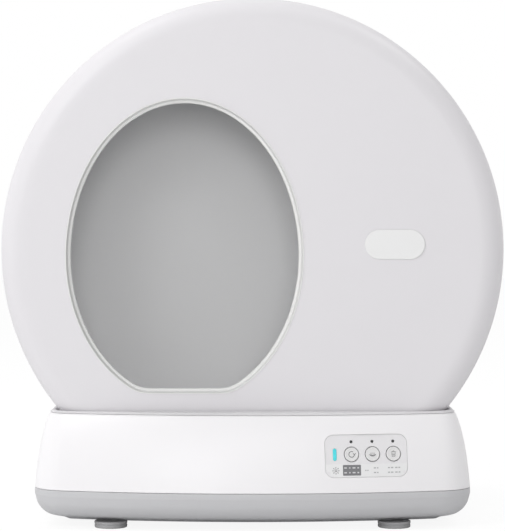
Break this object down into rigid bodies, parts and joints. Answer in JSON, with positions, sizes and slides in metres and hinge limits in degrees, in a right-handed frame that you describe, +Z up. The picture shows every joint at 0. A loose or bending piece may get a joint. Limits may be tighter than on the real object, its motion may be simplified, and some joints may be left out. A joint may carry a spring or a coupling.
{
  "type": "self cleaning litter box",
  "caption": "Drum-type self cleaning litter box: a drum with an oval entrance turns on rollers in a base with a control panel, and sifts waste into a rear drawer.",
  "frame": {"origin": "on the floor, at the middle of the box that bounds the whole object", "axes": "+X to the right seen from the front, -Y towards the front (the entrance and the control panel), +Z up; the drum's axis is parallel to Y"},
  "size_m": [0.6, 0.5004, 0.6285],
  "materials": {
    "shell_white": "satin white moulded plastic",
    "key_white": "matt white",
    "soft_lip": "soft white lip",
    "badge_pale": "pale bare plate",
    "tray_grey": "fine matt grain",
    "deck_grey": "fine matt grain",
    "panel_grey": "smooth matt",
    "inner_grey": "moulded matt",
    "liner_grey": "soft matt",
    "rubber_dark": "matt",
    "lamp_dark": "gloss, unlit",
    "lamp_cyan": "lit",
    "nylon_dark": "moulded",
    "nylon_pale": "moulded",
    "steel": "plated",
    "board_green": "solder mask"
  },
  "bodies": {
    "base": {"base_lower_tray": "tray_grey", "base_upper_shell": "shell_white", "cradle_deck": "deck_grey", "panel_fascia": "panel_grey", "control_board": "board_green", "light_bar": "lamp_cyan", "lamp_clean": "lamp_dark", "lamp_level": "lamp_dark", "lamp_empty": "lamp_dark", "power_jack": "nylon_dark", "position_sensor": "nylon_dark", "gearbox": "nylon_dark", "motor": "steel", "foot_front_left": "rubber_dark", "foot_front_right": "rubber_dark", "foot_rear_left": "rubber_dark", "foot_rear_right": "rubber_dark", "load_cell_front_left": "steel", "load_cell_front_right": "steel", "load_cell_rear_left": "steel", "load_cell_rear_right": "steel", "bracket_front_left": "deck_grey", "bracket_front_right": "deck_grey", "bracket_rear_left": "deck_grey", "bracket_rear_right": "deck_grey", "bracket_screw_front_left": "steel", "bracket_screw_front_right": "steel", "bracket_screw_rear_left": "steel", "bracket_screw_rear_right": "steel", "axle_front_left": "steel", "axle_front_right": "steel", "axle_rear_left": "steel", "axle_rear_right": "steel"},
    "drum": {"front_shell": "shell_white", "rear_shell": "shell_white", "ring_gear": "nylon_dark", "litter_liner": "liner_grey", "opening_trim": "soft_lip", "face_badge": "badge_pale", "bin_housing": "inner_grey", "flap_pin": "steel", "sieve_grid": "inner_grey", "drum_magnet": "steel", "deodoriser_box": "panel_grey", "deodoriser_lid": "panel_grey"},
    "waste_drawer": {"waste_bin": "panel_grey", "bin_cover": "shell_white"},
    "latch": {"bin_latch": "tray_grey"},
    "flap": {"bin_flap": "panel_grey"},
    "pinion": {"drive_pinion": "nylon_pale"},
    "roller_fl": {"roller_front_left": "rubber_dark"},
    "roller_fr": {"roller_front_right": "rubber_dark"},
    "roller_rl": {"roller_rear_left": "rubber_dark"},
    "roller_rr": {"roller_rear_right": "rubber_dark"},
    "clean_key": {"button_clean": "key_white"},
    "level_key": {"button_level": "key_white"},
    "empty_key": {"button_empty": "key_white"}
  },
  "joints": [
    {"name": "drum_spin", "type": "hinge", "parent": "base", "child": "drum", "pos_m": [0, 0, 0.3285], "axis": [0, 1, 0], "continuous": true},
    {"name": "pinion_spin", "type": "hinge", "parent": "base", "child": "pinion", "pos_m": [0.19044, 0.027, 0.06638], "axis": [0, 1, 0], "continuous": true},
    {"name": "roller_fl_spin", "type": "hinge", "parent": "base", "child": "roller_fl", "pos_m": [-0.19591, -0.13, 0.07763], "axis": [0, 1, 0], "continuous": true},
    {"name": "roller_fr_spin", "type": "hinge", "parent": "base", "child": "roller_fr", "pos_m": [0.19591, -0.13, 0.07763], "axis": [0, 1, 0], "continuous": true},
    {"name": "roller_rl_spin", "type": "hinge", "parent": "base", "child": "roller_rl", "pos_m": [-0.19591, 0.11, 0.07763], "axis": [0, 1, 0], "continuous": true},
    {"name": "roller_rr_spin", "type": "hinge", "parent": "base", "child": "roller_rr", "pos_m": [0.19591, 0.11, 0.07763], "axis": [0, 1, 0], "continuous": true},
    {"name": "drawer_slide", "type": "slide", "parent": "drum", "child": "waste_drawer", "axis": [0, 1, 0], "range_m": [0, 0.365]},
    {"name": "latch_press", "type": "slide", "parent": "waste_drawer", "child": "latch", "axis": [0, -1, 0], "range_m": [0, 0.003], "stiffness_N_per_m": 600},
    {"name": "flap_swing", "type": "hinge", "parent": "drum", "child": "flap", "pos_m": [0.09458, 0, 0.4125], "axis": [0, -1, 0], "range_deg": [0, 80]},
    {"name": "clean_press", "type": "slide", "parent": "base", "child": "clean_key", "axis": [-0.1612, 0.9719, -0.1717], "range_m": [0, 0.001], "stiffness_N_per_m": 600},
    {"name": "level_press", "type": "slide", "parent": "base", "child": "level_key", "axis": [-0.1612, 0.9719, -0.1717], "range_m": [0, 0.001], "stiffness_N_per_m": 600},
    {"name": "empty_press", "type": "slide", "parent": "base", "child": "empty_key", "axis": [-0.1612, 0.9719, -0.1717], "range_m": [0, 0.001], "stiffness_N_per_m": 600}
  ],
  "couplings": [
    {"joint": "pinion_spin", "follows": "drum_spin", "ratio": -8},
    {"joint": "roller_fl_spin", "follows": "drum_spin", "ratio": -16.667},
    {"joint": "roller_fr_spin", "follows": "drum_spin", "ratio": -16.667},
    {"joint": "roller_rl_spin", "follows": "drum_spin", "ratio": -16.667},
    {"joint": "roller_rr_spin", "follows": "drum_spin", "ratio": -16.667}
  ]
}
